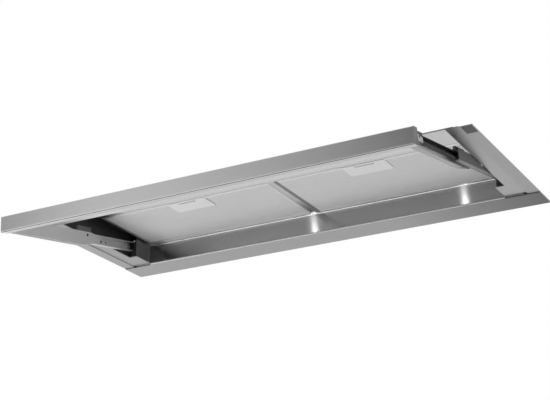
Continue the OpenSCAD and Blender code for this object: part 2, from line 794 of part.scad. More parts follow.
module filter_frame(side) color(aluminium) in_frame() difference() {
    on_side(side) {
        difference() {
            block(filter_gap / 2, filter_x, filter_front, filter_rear, ceiling_z, ceiling_z + filter_h);
            block(filter_gap / 2 + filter_wall, filter_x - filter_wall, filter_front + filter_wall,
                filter_rear - filter_wall, ceiling_z + filter_lip, ceiling_z + filter_h - filter_lip);
            block(filter_gap / 2 + border_w, filter_x - border_w, filter_front + border_w,
                filter_rear - border_w, ceiling_z - over, ceiling_z + filter_h + over);
        }
        block(filter_gap / 2, filter_x, filter_rear - filter_wall, rear_lip_y,
            ceiling_z - filter_lip / 2, ceiling_z + filter_lip / 2);
        for (share = hook_shares) difference() {
            union() {
                rod_x(hook_at(share), hook_at(share) + hook_w, rod_y, rod_z, hook_r);
                block(hook_at(share), hook_at(share) + hook_w, filter_rear - filter_wall, rod_y,
                    rod_z - rod_r, rod_z + rod_r);
            }
            rod_x(hook_at(share) - over, hook_at(share) + hook_w + over, rod_y, rod_z, rod_r + run_gap);
        }
    }
    latch_pocket(side);
}

function hook_at(share) = filter_gap / 2 + share * (filter_x - filter_gap / 2) - hook_w / 2;

module filter_mesh(side) color(aluminium) in_frame() difference() {
    on_side(side) block(filter_gap / 2 + filter_wall, filter_x - filter_wall, filter_front + filter_wall,
        filter_rear - filter_wall, ceiling_z + filter_lip, ceiling_z + filter_lip + mesh_h);
    latch_pocket(side);
}

module handle(side) color(bright_steel) in_frame() difference() {
    block(side * handle_cx - handle_w / 2, side * handle_cx + handle_w / 2, filter_front,
        filter_front + handle_d, ceiling_z - handle_t, ceiling_z);
    block(side * handle_cx - slot_w / 2, side * handle_cx + slot_w / 2, filter_front + slot_front,
        filter_front + slot_front + slot_d, ceiling_z - handle_t - over, ceiling_z + over);
}

module latch(side) color(bright_steel) in_frame() {
    block(side * handle_cx - latch_w / 2, side * handle_cx + latch_w / 2, filter_front - latch_front,
        filter_front - latch_front + latch_d, ceiling_z + clear, ceiling_z + clear + latch_h);
    block(side * handle_cx - latch_w / 2, side * handle_cx + latch_w / 2, filter_front + slot_front + clear,
        filter_front + slot_front + clear + rib_t, ceiling_z - rib_drop, ceiling_z + clear + latch_h);
}

module filter_hinge_rod() color(zinc) in_frame() {
    rod_x(-wall_x, wall_x, rod_y, rod_z, rod_r);
    for (x = [-wall_x, -lug_w / 2, wall_x - lug_w])
        block(x, x + lug_w, rod_y - hook_r, wall_y, rod_z - lug_h / 2, rod_z + lug_h / 2);
}

base_frame();
rear_trim();
side_panel(-1);  // side_panel_left
side_panel(1);  // side_panel_right
corner_caps();
rear_recess_wall();
side_channel(-1);  // side_channel_left
side_channel(1);  // side_channel_right
ceiling_front_panel();
divider_rail();
plenum_housing();
rear_wall();
wing(-1);  // wing_left
wing(1);  // wing_right
blower_cover();
blower_scroll();
blower_motor();
impeller();
outlet_elbow();
duct_collar();
damper_pins();
damper(-1);  // damper_front
damper(1);  // damper_rear
control_box();
cable_gland();
pivot_bracket(-1);  // pivot_bracket_left
pivot_bracket(1);  // pivot_bracket_right
pivot_pins();
bracket_screws();
outer_rail(-1);  // outer_rail_left
outer_rail(1);  // outer_rail_right
ball_cage(-1);  // ball_cage_left
ball_cage(1);  // ball_cage_right
inner_rail(-1);  // inner_rail_left
inner_rail(1);  // inner_rail_right
rail_mounts();
fascia();
fascia_back();
lamp_panel();
side_plate(-1);  // side_plate_left
side_plate(1);  // side_plate_right
stop_blocks();
plate_screws();
lamp_rings();
lamp_lenses();
filter_frame(-1);  // filter_frame_left
filter_frame(1);  // filter_frame_right
filter_mesh(-1);  // filter_mesh_left
filter_mesh(1);  // filter_mesh_right
handle(-1);  // handle_left
handle(1);  // handle_right
latch(-1);  // latch_left
latch(1);  // latch_right
filter_hinge_rod();
control_panel();
button(1);  // button_1
button(2);  // button_2
button(3);  // button_3
button(4);  // button_4
visor_switch();
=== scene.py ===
import json
import math

import bmesh
import bpy
from mathutils import Matrix, Vector


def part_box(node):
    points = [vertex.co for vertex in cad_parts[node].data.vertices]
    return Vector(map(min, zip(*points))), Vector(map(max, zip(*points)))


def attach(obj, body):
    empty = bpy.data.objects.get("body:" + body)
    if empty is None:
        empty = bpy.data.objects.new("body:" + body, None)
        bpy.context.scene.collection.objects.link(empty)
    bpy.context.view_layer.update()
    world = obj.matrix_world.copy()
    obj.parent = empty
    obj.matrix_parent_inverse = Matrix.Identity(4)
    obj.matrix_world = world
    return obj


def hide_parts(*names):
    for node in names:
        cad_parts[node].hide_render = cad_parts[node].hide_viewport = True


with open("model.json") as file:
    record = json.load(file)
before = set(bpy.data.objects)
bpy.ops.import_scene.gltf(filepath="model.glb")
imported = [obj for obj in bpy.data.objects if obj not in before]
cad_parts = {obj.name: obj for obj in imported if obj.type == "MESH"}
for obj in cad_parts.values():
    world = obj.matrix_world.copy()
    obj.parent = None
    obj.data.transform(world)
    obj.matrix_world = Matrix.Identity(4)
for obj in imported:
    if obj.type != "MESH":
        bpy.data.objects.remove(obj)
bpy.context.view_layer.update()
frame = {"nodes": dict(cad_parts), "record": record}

bl_info = {
    "name": "Pull Out Range Hood",
    "version": (1, 0, 0),
    "blender": (4, 5, 0),
    "location": "3D View > Sidebar > Range Hood",
    "description": "Finishes and fine pieces of a pull out range hood, with its studio",
    "category": "Object",
}

# Places are in millimetres: X from the middle, Y from the frame's front edge, Z from its underside
SEAT_Y = 360.8
SHEET = 1.5
PIVOT_Y = 256.0
PIVOT_Z = 21.0
TILT = math.radians(11)
PLENUM_TOP = 82.0
BOX_TOP = 102.0
COVER_TOP = 112.0
FILTER_FRONT = 141.0
FILTER_REAR = 306.7
FILTER_FACE = 41.8
FILTER_BORDER = 7.0

# Places on the visor are in millimetres from its pivots
BAR_FRONT = -387.5
BAR_LOW = -17.8
PANEL_FACE = 9.7
LAMP_X = 190.0
LAMP_Y = -292.0

# The stage is in metres and radians, and its camera is solved from the photo's straight edges
CAMERA_PLACE = (1.12268, -2.14195, -0.88435)
CAMERA_YAW = 0.524615
CAMERA_PITCH = 0.380474
CAMERA_ROLL = 0.010472
HOOD_MIDDLE = (0, -0.2, 0)
FLOOR_REACH = 15.0
SCREEN_Y = -4.0
SCREEN_TOP = 5.0

# How finely round shapes are made
SCREW_SIDES = 20
RIB_SIDES = 12
RIB_POINTS = 13
LATHE_SIDES = 48
BEAD_STEPS = 8
SHARP_ANGLE = math.radians(35)
SAME_POINT = 1e-7


def place(x, y, z):
    """A place on the hood, from millimetres to metres."""
    return Vector((x, y - SEAT_Y, z - SHEET)) / 1000


VISOR = Matrix.Translation(place(0, PIVOT_Y, PIVOT_Z)) @ Matrix.Rotation(TILT, 4, "X")


def on_visor(x, y, z):
    """A place on the tilted visor, from millimetres measured from its pivots."""
    return VISOR @ (Vector((x, y, z)) / 1000)


# ---- sizes and colours that a user would change

def colour(label, words, value):
    return bpy.props.FloatVectorProperty(name=label, description=words, default=value,
                                         subtype="COLOR", size=3, min=0, max=1)


def length(label, words, value):
    return bpy.props.FloatProperty(name=label, description=words, default=value,
                                   unit="LENGTH", subtype="DISTANCE", precision=4)


def power(label, words, value):
    return bpy.props.FloatProperty(name=label, description=words, default=value, unit="POWER", precision=3)


def number(label, words, value):
    return bpy.props.FloatProperty(name=label, description=words, default=value)


class HoodFinishes(bpy.types.PropertyGroup):
    frame_steel: colour("Frame steel", "Brushed steel of the frame and its trim", (0.47, 0.47, 0.475))
    bar_steel: colour("Front bar steel", "Brushed steel of the front bar", (0.61, 0.61, 0.615))
    bright_steel: colour("Bright steel", "Brushed steel of the recess and the ceiling", (0.76, 0.76, 0.765))
    handle_steel: colour("Handle steel", "Bright plates on the filters", (0.93, 0.93, 0.935))
    slide_steel: colour("Slide steel", "Plated steel of the slides", (0.5, 0.5, 0.505))
    aluminium: colour("Aluminium", "Borders and strands of the filters", (0.94, 0.94, 0.945))
    zinc: colour("Zinc", "Coated sheet of the housing", (0.42, 0.43, 0.44))
    black: colour("Black", "Painted steel and moulded plastic", (0.012, 0.012, 0.013))
    dark_grey: colour("Dark grey", "Plastic of the buttons and the end pieces", (0.10, 0.10, 0.103))


class HoodMesh(bpy.types.PropertyGroup):
    cell_x: length("Cell width", "Width of one opening of the filter mesh", 0.0042)
    cell_y: length("Cell depth", "Depth of one opening of the filter mesh", 0.0025)
    strand: length("Strand width", "Width of a strand of the filter mesh", 0.0006)
    strand_h: length("Strand height", "Height of a strand of the filter mesh", 0.0003)


class HoodStage(bpy.types.PropertyGroup):
    floor_drop: length("Floor", "How far the floor lies below the hood", 1.6)
    lens: number("Lens", "Focal length of the camera in millimetres", 86.28)
    key_power: power("Key light", "Power of the large lamp in front", 22.0)
    fill_power: power("Fill light", "Power of the lamp to the left", 10.0)
    visor_power: power("Visor lamps", "Power of each lamp's glint on the rear wall", 0.04)
    lamp_glow: number("Lens glow", "Strength of the two lit lenses in the visor", 2.5)


# ---- shader groups and materials

FLOAT, COLOUR, VECTOR = "NodeSocketFloat", "NodeSocketColor", "NodeSocketVector"

# For lines along X or Y, how much the fine lines and the slow streaks repeat along each axis
BRUSH = {"X": ((8, 1500, 1500), (3, 120, 120)), "Y": ((1500, 8, 1500), (120, 3, 120))}


def add_node(tree, kind, **settings):
    made = tree.nodes.new(kind)
    for key, value in settings.items():
        setattr(made, key, value)
    return made


def feed(tree, source, socket):
    """Links an output, or sets a plain value."""
    if isinstance(source, bpy.types.NodeSocket):
        tree.links.new(source, socket)
    else:
        socket.default_value = source


def math_node(tree, operation, a, b=0.0, c=None):
    made = add_node(tree, "ShaderNodeMath", operation=operation)
    feed(tree, a, made.inputs[0])
    feed(tree, b, made.inputs[1])
    if c is not None:
        feed(tree, c, made.inputs[2])
    return made.outputs[0]


def new_group(name, inputs, outputs):
    """A shader node group with named sockets; gives the group and its two ends."""
    group = bpy.data.node_groups.new(name, "ShaderNodeTree")
    for label, kind, value in inputs:
        socket = group.interface.new_socket(label, in_out="INPUT", socket_type=kind)
        socket.default_value = value
    for label, kind in outputs:
        group.interface.new_socket(label, in_out="OUTPUT", socket_type=kind)
    return group, group.nodes.new("NodeGroupInput"), group.nodes.new("NodeGroupOutput")


def scaled_noise(group, position, scale, detail=3.0, rough=0.6):
    stretched = add_node(group, "ShaderNodeVectorMath", operation="MULTIPLY")
    feed(group, position, stretched.inputs[0])
    feed(group, scale, stretched.inputs[1])
    noise = add_node(group, "ShaderNodeTexNoise")
    noise.inputs["Scale"].default_value = 1.0
    noise.inputs["Detail"].default_value = detail
    noise.inputs["Roughness"].default_value = rough
    group.links.new(stretched.outputs[0], noise.inputs["Vector"])
    return noise.outputs["Fac"]


def scaled_colour(group, tint, gain):
    scale = add_node(group, "ShaderNodeVectorMath", operation="SCALE")
    group.links.new(tint, scale.inputs[0])
    group.links.new(gain, scale.inputs["Scale"])
    return scale.outputs[0]


def new_surface(name, sizes, grey, shade, rough, spread):
    """A group that gives a surface its colour, roughness and relief; gives the group and its two ends."""
    return new_group(name, [
        ("Position", VECTOR, (0, 0, 0)), *sizes, ("Color", COLOUR, (grey, grey, grey, 1)),
        ("Shade", FLOAT, shade), ("Roughness", FLOAT, rough), ("Roughness spread", FLOAT, spread)],
        [("Color", COLOUR), ("Roughness", FLOAT), ("Height", FLOAT)])


def end_surface(group, start, end, shade_by, rough_by, height):
    """Ends a surface: its colour and its roughness vary with two factors that run from 0 to 1."""
    out = start.outputs
    gain = math_node(group, "MULTIPLY_ADD", math_node(group, "SUBTRACT", shade_by, 0.5), out["Shade"], 1.0)
    rough = math_node(group, "MULTIPLY_ADD", math_node(group, "SUBTRACT", rough_by, 0.5),
                      out["Roughness spread"], out["Roughness"])
    group.links.new(scaled_colour(group, out["Color"], gain), end.inputs["Color"])
    group.links.new(rough, end.inputs["Roughness"])
    group.links.new(height, end.inputs["Height"])
    return group


def brushed_group():
    """Fine lines of a brushed sheet, with slow streaks of shade."""
    sizes = [("Fine stretch", VECTOR, BRUSH["X"][0]), ("Streak stretch", VECTOR, BRUSH["X"][1])]
    group, start, end = new_surface("Brushed grain", sizes, 0.6, 0.08, 0.3, 0.12)
    fine = scaled_noise(group, start.outputs["Position"], start.outputs["Fine stretch"])
    streak = scaled_noise(group, start.outputs["Position"], start.outputs["Streak stretch"], 2.0)
    both = math_node(group, "MULTIPLY_ADD", fine, 0.5, math_node(group, "MULTIPLY", streak, 0.5))
    return end_surface(group, start, end, both, fine, fine)


def bloom_group():
    """Zinc crystals and faint stains of a coated sheet."""
    group, start, end = new_surface("Zinc bloom", [("Crystals", FLOAT, 70.0)], 0.4, 0.2, 0.4, 0.2)
    cells = add_node(group, "ShaderNodeTexVoronoi")
    group.links.new(start.outputs["Position"], cells.inputs["Vector"])
    group.links.new(start.outputs["Crystals"], cells.inputs["Scale"])
    grey = add_node(group, "ShaderNodeRGBToBW")
    group.links.new(cells.outputs["Color"], grey.inputs[0])
    stain = scaled_noise(group, start.outputs["Position"], (9, 9, 9), 4.0)
    both = math_node(group, "MULTIPLY_ADD", grey.outputs[0], 0.6, math_node(group, "MULTIPLY", stain, 0.4))
    return end_surface(group, start, end, both, both, both)


def grain_group():
    """Fine grain of moulded plastic or textured paint, with faint wear."""
    sizes = [("Grain", VECTOR, (1600, 1600, 1600))]
    group, start, end = new_surface("Moulded grain", sizes, 0.1, 0.3, 0.5, 0.15)
    fine = scaled_noise(group, start.outputs["Position"], start.outputs["Grain"], 2.0)
    wear = scaled_noise(group, start.outputs["Position"], (30, 30, 30), 5.0, 0.65)
    return end_surface(group, start, end, wear, wear, fine)


def lattice_group():
    """Crossing strands of the mesh layers that lie deeper in a filter. The openings between the strands
    are painted darker, down to the Shadow part of the colour: painted shade.
    """
    group, start, end = new_group("Crossed strands", [
        ("Position", VECTOR, (0, 0, 0)), ("Cell", VECTOR, (0.0042, 0.0025, 1)),
        ("Color", COLOUR, (0.6, 0.6, 0.6, 1)), ("Shadow", FLOAT, 0.3), ("Width", FLOAT, 0.35)],
        [("Color", COLOUR), ("Height", FLOAT)])
    out = start.outputs
    cells = add_node(group, "ShaderNodeVectorMath", operation="DIVIDE")
    group.links.new(out["Position"], cells.inputs[0])
    group.links.new(out["Cell"], cells.inputs[1])
    split = add_node(group, "ShaderNodeSeparateXYZ")
    group.links.new(cells.outputs[0], split.inputs[0])
    masks = []
    for operation in ("ADD", "SUBTRACT"):
        diagonal = math_node(group, operation, split.outputs[0], split.outputs[1])
        wave = math_node(group, "PINGPONG", diagonal, 0.5)
        narrow = add_node(group, "ShaderNodeMapRange", interpolation_type="SMOOTHSTEP")
        group.links.new(wave, narrow.inputs["Value"])
        group.links.new(out["Width"], narrow.inputs["From Min"])
        narrow.inputs["From Max"].default_value = 0.05
        masks.append(narrow.outputs["Result"])
    strands = math_node(group, "MAXIMUM", masks[0], masks[1])
    lit = math_node(group, "SUBTRACT", 1.0, out["Shadow"])
    gain = math_node(group, "MULTIPLY_ADD", strands, lit, out["Shadow"])
    group.links.new(scaled_colour(group, out["Color"], gain), end.inputs["Color"])
    group.links.new(strands, end.inputs["Height"])
    return group


def shader_group(name):
    makers = {"Brushed grain": brushed_group, "Zinc bloom": bloom_group,
              "Moulded grain": grain_group, "Crossed strands": lattice_group}
    return bpy.data.node_groups.get(name) or makers[name]()


def new_material(name, group_name, tint, values, metallic=0.0, anisotropy=0.0, bump=0.1, bump_mm=0.02,
                 rough=None):
    """A material whose colour, roughness and relief come from one of the groups. A plain roughness
    is given where the group has none."""
    made = bpy.data.materials.new(name)
    made.use_nodes = True
    made.diffuse_color = (*tint, 1)
    tree = made.node_tree
    principled = tree.nodes["Principled BSDF"]
    coords = add_node(tree, "ShaderNodeTexCoord")
    pattern = add_node(tree, "ShaderNodeGroup", node_tree=shader_group(group_name))
    tree.links.new(coords.outputs["Object"], pattern.inputs["Position"])
    pattern.inputs["Color"].default_value = (*tint, 1)
    for key, value in values.items():
        pattern.inputs[key].default_value = value
    tree.links.new(pattern.outputs["Color"], principled.inputs["Base Color"])
    feed(tree, pattern.outputs["Roughness"] if rough is None else rough, principled.inputs["Roughness"])
    relief = add_node(tree, "ShaderNodeBump")
    relief.inputs["Strength"].default_value = bump
    relief.inputs["Distance"].default_value = bump_mm / 1000
    tree.links.new(pattern.outputs["Height"], relief.inputs["Height"])
    tree.links.new(relief.outputs["Normal"], principled.inputs["Normal"])
    principled.inputs["Metallic"].default_value = metallic
    principled.inputs["Anisotropic"].default_value = anisotropy
    return made


def brushed(name, tint, along="X", roughness=0.32, anisotropy=0.7, shade=0.12, spread=0.12):
    """Brushed metal with its lines along X or along Y."""
    fine, streak = BRUSH[along]
    made = new_material(name, "Brushed grain", tint, {
        "Fine stretch": fine, "Streak stretch": streak, "Shade": shade, "Roughness": roughness,
        "Roughness spread": spread}, metallic=1.0, anisotropy=anisotropy, bump=0.25, bump_mm=0.01)
    tree = made.node_tree
    tangent = add_node(tree, "ShaderNodeTangent", direction_type="RADIAL", axis=along)
    tree.links.new(tangent.outputs[0], tree.nodes["Principled BSDF"].inputs["Tangent"])
    return made


def painted_light_band(made, tint, *limits):
    """Paints another colour over the material where every limit holds: a band of painted shade or a
    painted highlight. A limit is an axis, where it starts and where it has its full strength, in the
    millimetres of place(). |X| counts from the middle to both ends."""
    tree = made.node_tree
    principled = tree.nodes["Principled BSDF"]
    coords = next(n for n in tree.nodes if n.bl_idname == "ShaderNodeTexCoord")
    plain = principled.inputs["Base Color"].links[0].from_socket
    split = add_node(tree, "ShaderNodeSeparateXYZ")
    tree.links.new(coords.outputs["Object"], split.inputs[0])
    share = 1.0
    for axis, start, full in limits:
        i = "XYZ".index(axis.strip("|"))
        reach = math_node(tree, "ABSOLUTE", split.outputs[i]) if "|" in axis else split.outputs[i]
        edge = add_node(tree, "ShaderNodeMapRange")
        tree.links.new(reach, edge.inputs["Value"])
        edge.inputs["From Min"].default_value = place(start, start, start)[i]
        edge.inputs["From Max"].default_value = place(full, full, full)[i]
        share = math_node(tree, "MULTIPLY", edge.outputs["Result"], share)
    mix = add_node(tree, "ShaderNodeMix", data_type="RGBA")
    tree.links.new(share, mix.inputs["Factor"])
    tree.links.new(plain, mix.inputs["A"])
    mix.inputs["B"].default_value = (*tint, 1)
    tree.links.new(mix.outputs["Result"], principled.inputs["Base Color"])
    return made


def glowing_lens(strength):
    """Frosted lens over a lit lamp."""
    made = new_material("Frosted lens", "Moulded grain", (0.95, 0.95, 0.92), {
        "Shade": 0.04, "Roughness": 0.45}, bump=0.1)
    principled = made.node_tree.nodes["Principled BSDF"]
    principled.inputs["Emission Color"].default_value = (1.0, 0.98, 0.94, 1)
    principled.inputs["Emission Strength"].default_value = strength
    principled.inputs["Transmission Weight"].default_value = 0.2
    return made


NODE_FINISH = {
    "side_panel_left": "frame_steel_y", "side_panel_right": "frame_steel_y",
    "fascia_back": "bar_steel", "lamp_panel": "bright_steel",
    "divider_rail": "divider", "blower_motor": "motor_steel", "rear_recess_wall": "wall_steel",
    "filter_frame_left": "filter_border_left", "filter_frame_right": "filter_border_painted_shadow",
    "rear_trim": "trim_steel", "rail_mounts": "mount_zinc", "outer_rail_right": "shaded_slide",
}
SLOT_FINISH = {
    "brushed_steel": "frame_steel", "fascia_steel": "bar_steel", "visor_steel": "plate_steel",
    "bright_steel": "bright_steel", "handle_steel": "handle_steel", "rail_steel": "slide_steel",
    "dark_steel": "textured_black", "zinc_sheet": "zinc", "black_paint": "black_paint",
    "hardware_steel": "hardware", "filter_mesh": "deep_mesh", "lens": "lens",
    "grey_plastic": "grey_plastic", "black_plastic": "black_plastic",
}
finishes = {}


def dimmed(tint, part):
    return tuple(part * value for value in tint)


def make_finishes(scene):
    """Makes the finishes that the two tables name. Each band is painted shade or a painted highlight, laid on
    a fold, a cut edge or a side of a part.
    """
    paint, cells, stage = scene.hood_finishes, scene.hood_mesh, scene.hood_stage
    steel, bar, bright = tuple(paint.frame_steel), tuple(paint.bar_steel), tuple(paint.bright_steel)
    handle, slide, aluminium = tuple(paint.handle_steel), tuple(paint.slide_steel), tuple(paint.aluminium)
    black, grey, zinc = tuple(paint.black), tuple(paint.dark_grey), tuple(paint.zinc)

    panel = brushed("Side panel steel", dimmed(steel, 1.05), "Y")
    front = brushed("Front bar steel", bar, shade=0.08)
    # The trim is painted darker towards its right end, from X 150 mm: painted shade.
    trim = painted_light_band(brushed("Trim steel", steel), dimmed(steel, 0.37), ("X", 150, 449))
    wall = brushed("Recess wall steel", dimmed(bright, 0.38), roughness=0.14, anisotropy=1.0, spread=0.04)
    divider = brushed("Divider aluminium", dimmed(steel, 1.75), "Y", roughness=0.4, anisotropy=0.3)
    borders = [brushed(name, dimmed(aluminium, 0.85), roughness=0.42, anisotropy=0.3)
               for name in ("Left border with painted highlight", "Right border with painted highlight and shadow")]
    # The front strip of each filter border, up to Y 145 mm, is painted white: a painted highlight.
    for border in borders:
        painted_light_band(border, (1.0, 1.0, 1.0), ("Y", 145.4, 144.8))
    mount = new_material("Slide mount", "Zinc bloom", dimmed(slide, 0.9), {"Crystals": 700.0, "Shade": 0.9},
                         metallic=0.8, bump=0.4)
    plate = brushed("Side plate steel", dimmed(steel, 1.34), "Y", roughness=0.4)
    rail = brushed("Slide steel", dimmed(slide, 1.25), "Y", roughness=0.36, anisotropy=0.3, shade=0.3)
    finishes.update({
        "frame_steel": brushed("Frame steel", steel),
        # The side panels are painted darker above Z 3 mm, over their bottom sheet: painted shade.
        "frame_steel_y": painted_light_band(panel, dimmed(steel, 0.63), ("Z", 2.8, 3)),
        # The bar's end faces, beyond |X| 401 mm, are painted dark: painted shade.
        "bar_steel": painted_light_band(front, dimmed(bar, 0.25), ("|X|", 401, 401.2)),
        # Beside the trim bead, the trim's front edge is painted dark: a painted shadow line in the gap.
        "trim_steel": painted_light_band(trim, dimmed(steel, 0.35), ("Y", 317.3, 317.1), ("|X|", 385.5, 386.5)),
        # The recess wall is painted in the bright handle tint above Z 38.3 mm: a painted highlight along its
        # top edge.
        "wall_steel": painted_light_band(wall, handle, ("Z", 38.2, 38.4)),
        "filter_border_left": borders[0],
        # The right filter's border within 14 mm of the middle is painted darker: the divider's painted
        # shadow.
        "filter_border_painted_shadow": painted_light_band(borders[1], dimmed(aluminium, 0.3), ("|X|", 14.5, 13.5)),
        # The divider is painted darker towards its rear, from Y 240 mm: painted shade.
        "divider": painted_light_band(divider, dimmed(steel, 0.7), ("Y", 240, 306)),
        # The slide mounts are painted near black above Z -44.5 mm, and keep their zinc below: painted shade.
        "mount_zinc": painted_light_band(mount, dimmed(slide, 0.12), ("Z", -45.5, -44.5)),
        # The side plates' outward flanges, beyond |X| 386.8 mm, are painted darker: painted shade under the
        # rails.
        "plate_steel": painted_light_band(plate, dimmed(steel, 0.8), ("|X|", 386.4, 386.8)),
        # The slides' outer faces, beyond |X| 400.9 mm, are painted darker: painted shade.
        "slide_steel": painted_light_band(rail, dimmed(slide, 0.3), ("|X|", 400.6, 400.9)),
        "shaded_slide": brushed("Shaded slide steel", dimmed(slide, 0.35), "Y", roughness=0.4, shade=0.5),
        "bright_steel": brushed("Bright steel", bright, roughness=0.24, anisotropy=0.85),
        "handle_steel": brushed("Handle steel", handle, roughness=0.35),
        "aluminium": brushed("Satin aluminium", aluminium, roughness=0.42, anisotropy=0.3),
        "zinc": new_material("Zinc coated sheet", "Zinc bloom", zinc, {}, metallic=0.9, bump=0.2),
        "motor_steel": new_material("Motor shell", "Zinc bloom", slide, {"Crystals": 240.0},
                                    metallic=0.9, bump=0.2),
        "hardware": new_material("Plated hardware", "Zinc bloom", bright,
                                 {"Crystals": 500.0, "Roughness": 0.28}, metallic=1.0, bump=0.1),
        "textured_black": new_material("Textured black", "Moulded grain", dimmed(black, 2.5),
                                       {"Grain": (900, 900, 900), "Roughness": 0.36, "Shade": 3.0},
                                       bump=0.9, bump_mm=0.4),
        "black_paint": new_material("Black paint", "Moulded grain", black, {"Roughness": 0.5}, bump=0.2),
        "black_plastic": new_material("Black plastic", "Moulded grain", black, {"Roughness": 0.46}, bump=0.3),
        "grey_plastic": new_material("Grey plastic", "Moulded grain", grey, {"Roughness": 0.45}, bump=0.3),
        "deep_mesh": new_material("Deep mesh", "Crossed strands", aluminium,
                                  {"Cell": (cells.cell_x * 0.8, cells.cell_y * 1.3, 1), "Shadow": 0.82},
                                  metallic=0.4, bump=0.3, bump_mm=0.2, rough=0.5),
        "lens": glowing_lens(stage.lamp_glow),
    })


# ---- geometry nodes

def new_tree(name, sizes):
    """A geometry tree with named inputs; gives the tree and its two ends."""
    tree = bpy.data.node_groups.new(name, "GeometryNodeTree")
    tree.interface.new_socket("Geometry", in_out="INPUT", socket_type="NodeSocketGeometry")
    for label, kind, value in sizes:
        tree.interface.new_socket(label, in_out="INPUT", socket_type=kind).default_value = value
    tree.interface.new_socket("Material", in_out="INPUT", socket_type="NodeSocketMaterial")
    tree.interface.new_socket("Geometry", in_out="OUTPUT", socket_type="NodeSocketGeometry")
    return tree, tree.nodes.new("NodeGroupInput"), tree.nodes.new("NodeGroupOutput")


def finish_tree(tree, start, end, shape):
    """Ends a tree in Realize Instances and Set Material."""
    real = tree.nodes.new("GeometryNodeRealizeInstances")
    painted = tree.nodes.new("GeometryNodeSetMaterial")
    tree.links.new(shape, real.inputs[0])
    tree.links.new(real.outputs[0], painted.inputs["Geometry"])
    tree.links.new(start.outputs["Material"], painted.inputs["Material"])
    tree.links.new(painted.outputs[0], end.inputs[0])
    return tree


def box_xyz(tree, x, y, z):
    made = tree.nodes.new("ShaderNodeCombineXYZ")
    for value, socket in zip((x, y, z), made.inputs):
        feed(tree, value, socket)
    return made.outputs[0]


def moved(tree, shape, shift=(0, 0, 0), turn=(0, 0, 0), scale=(1, 1, 1)):
    made = tree.nodes.new("GeometryNodeTransform")
    tree.links.new(shape, made.inputs["Geometry"])
    feed(tree, shift, made.inputs["Translation"])
    feed(tree, turn, made.inputs["Rotation"])
    feed(tree, scale, made.inputs["Scale"])
    return made.outputs[0]


def joined(tree, *shapes):
    made = tree.nodes.new("GeometryNodeJoinGeometry")
    for shape in shapes:
        tree.links.new(shape, made.inputs[0])
    return made.outputs[0]


def points_mesh(name, points):
    """A mesh of loose points, from pairs of a place and the way that it faces."""
    mesh = bpy.data.meshes.new(name)
    mesh.from_pydata([tuple(spot) for spot, _ in points], [], [])
    facing = mesh.attributes.new("facing", "FLOAT_VECTOR", "POINT")
    for item, (_, value) in zip(facing.data, points):
        item.vector = value
    return mesh


def new_piece(name, mesh):
    made = bpy.data.objects.new(name, mesh)
    bpy.context.scene.collection.objects.link(made)
    return made


def keep_piece(made, body, finish, hides=()):
    """Sets a finished object on its body."""
    if not made.data.materials:
        made.data.materials.append(finishes[finish])
    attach(made, body)
    if hides:
        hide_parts(*hides)


def grow(name, base, tree, values, body, finish, hides=()):
    """Runs a geometry tree over a base mesh and keeps the result as a plain mesh."""
    source = new_piece(name + "_source", base)
    modifier = source.modifiers.new("Grow", "NODES")
    modifier.node_group = tree
    values = {**values, "Material": finishes[finish]}
    for item in tree.interface.items_tree:
        if item.item_type == "SOCKET" and item.in_out == "INPUT" and item.name in values:
            modifier[item.identifier] = values[item.name]
    graph = bpy.context.evaluated_depsgraph_get()
    graph.update()
    mesh = bpy.data.meshes.new_from_object(source.evaluated_get(graph), depsgraph=graph)
    if not mesh.polygons:
        raise RuntimeError("nothing grew for " + name)
    mesh.name = name
    bpy.data.objects.remove(source)
    keep_piece(new_piece(name, mesh), body, finish, hides)


